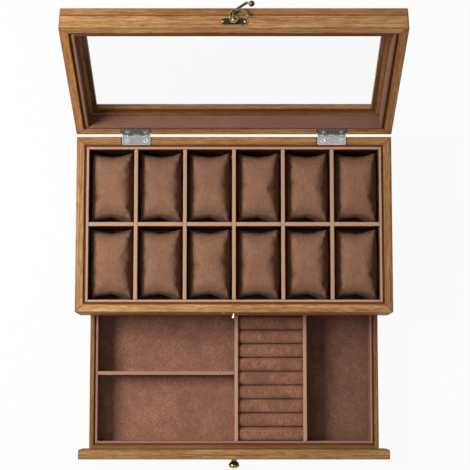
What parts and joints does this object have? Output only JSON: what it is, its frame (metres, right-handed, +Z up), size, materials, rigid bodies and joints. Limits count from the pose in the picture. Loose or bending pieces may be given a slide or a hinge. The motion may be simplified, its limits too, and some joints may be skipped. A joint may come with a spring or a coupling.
{
  "type": "watch box with drawer",
  "caption": "Wooden watch box with a glazed hinged lid and hook latch, velvet slots with removable pillows, and a lined drawer with ring rolls below.",
  "frame": {"origin": "centre of the case's footprint, on the underside of its felt", "axes": "+Z up, +X to the right seen from the front, +Y from the drawer's front to the lid's hinges"},
  "size_m": [0.35, 0.4738, 0.2801],
  "materials": {
    "walnut": "satin lacquer",
    "inner_wood": "matte",
    "pillow_velvet": "velvet",
    "lining_velvet": "velvet",
    "floor_velvet": "velvet",
    "felt": "felt",
    "glass": "clear",
    "nickel": "nickel plated",
    "steel": "zinc plated",
    "antique_brass": "antique",
    "polished_brass": "polished antique"
  },
  "bodies": {
    "case": {"case_wall_left": "walnut", "case_wall_right": "walnut", "case_wall_rear": "walnut", "front_panel": "walnut", "shelf": "inner_wood", "base_board": "inner_wood", "base_felt": "felt", "drawer_guides": "inner_wood", "drawer_stop": "inner_wood", "tray_velvet": "floor_velvet", "tray_lining": "lining_velvet", "tray_dividers": "lining_velvet", "tray_divider_long": "lining_velvet", "strike_plate": "antique_brass", "strike_stud": "antique_brass", "strike_nails": "antique_brass", "hinge_leaf_case_left": "nickel", "hinge_leaf_case_right": "nickel", "hinge_pins": "nickel", "hinge_screws_case": "nickel"},
    "lid": {"lid_rail_left": "walnut", "lid_rail_right": "walnut", "lid_rail_rear": "walnut", "lid_rail_front": "walnut", "lid_frame": "walnut", "lid_glass": "glass", "lid_lining": "lining_velvet", "hinge_leaf_lid_left": "nickel", "hinge_leaf_lid_right": "nickel", "hinge_screws_lid": "nickel", "latch_plate": "antique_brass", "latch_nails": "antique_brass", "latch_rivet": "antique_brass"},
    "hook": {"latch_hook": "antique_brass"},
    "drawer": {"drawer_front": "walnut", "drawer_box_front": "walnut", "drawer_back": "walnut", "drawer_side_left": "walnut", "drawer_side_right": "walnut", "drawer_bottom": "inner_wood", "drawer_velvet": "floor_velvet", "drawer_lining": "lining_velvet", "drawer_divider_left": "lining_velvet", "drawer_divider_right": "lining_velvet", "drawer_divider_cross": "lining_velvet", "ring_rolls": "lining_velvet", "knob": "polished_brass", "knob_screw": "steel"},
    "pillow_01": {"pillow_01": "pillow_velvet"},
    "pillow_02": {"pillow_02": "pillow_velvet"},
    "pillow_03": {"pillow_03": "pillow_velvet"},
    "pillow_04": {"pillow_04": "pillow_velvet"},
    "pillow_05": {"pillow_05": "pillow_velvet"},
    "pillow_06": {"pillow_06": "pillow_velvet"},
    "pillow_07": {"pillow_07": "pillow_velvet"},
    "pillow_08": {"pillow_08": "pillow_velvet"},
    "pillow_09": {"pillow_09": "pillow_velvet"},
    "pillow_10": {"pillow_10": "pillow_velvet"},
    "pillow_11": {"pillow_11": "pillow_velvet"},
    "pillow_12": {"pillow_12": "pillow_velvet"}
  },
  "joints": [
    {"name": "lid_hinge", "type": "hinge", "parent": "case", "child": "lid", "pos_m": [0, 0.0995, 0.0952], "axis": [-1, 0, 0], "range_deg": [-112, 0]},
    {"name": "hook_pivot", "type": "hinge", "parent": "lid", "child": "hook", "pos_m": [0, 0.18157, 0.27484], "axis": [0, 0.3746, 0.9272], "range_deg": [-134, 120]},
    {"name": "drawer_slide", "type": "slide", "parent": "case", "child": "drawer", "axis": [0, -1, 0], "range_m": [-0.1616, 0]},
    {"name": "pillow_01_lift", "type": "slide", "parent": "case", "child": "pillow_01", "axis": [0, 0, 1], "range_m": [0, 0.055]},
    {"name": "pillow_02_lift", "type": "slide", "parent": "case", "child": "pillow_02", "axis": [0, 0, 1], "range_m": [0, 0.055]},
    {"name": "pillow_03_lift", "type": "slide", "parent": "case", "child": "pillow_03", "axis": [0, 0, 1], "range_m": [0, 0.055]},
    {"name": "pillow_04_lift", "type": "slide", "parent": "case", "child": "pillow_04", "axis": [0, 0, 1], "range_m": [0, 0.055]},
    {"name": "pillow_05_lift", "type": "slide", "parent": "case", "child": "pillow_05", "axis": [0, 0, 1], "range_m": [0, 0.055]},
    {"name": "pillow_06_lift", "type": "slide", "parent": "case", "child": "pillow_06", "axis": [0, 0, 1], "range_m": [0, 0.055]},
    {"name": "pillow_07_lift", "type": "slide", "parent": "case", "child": "pillow_07", "axis": [0, 0, 1], "range_m": [0, 0.055]},
    {"name": "pillow_08_lift", "type": "slide", "parent": "case", "child": "pillow_08", "axis": [0, 0, 1], "range_m": [0, 0.055]},
    {"name": "pillow_09_lift", "type": "slide", "parent": "case", "child": "pillow_09", "axis": [0, 0, 1], "range_m": [0, 0.055]},
    {"name": "pillow_10_lift", "type": "slide", "parent": "case", "child": "pillow_10", "axis": [0, 0, 1], "range_m": [0, 0.055]},
    {"name": "pillow_11_lift", "type": "slide", "parent": "case", "child": "pillow_11", "axis": [0, 0, 1], "range_m": [0, 0.055]},
    {"name": "pillow_12_lift", "type": "slide", "parent": "case", "child": "pillow_12", "axis": [0, 0, 1], "range_m": [0, 0.055]}
  ]
}
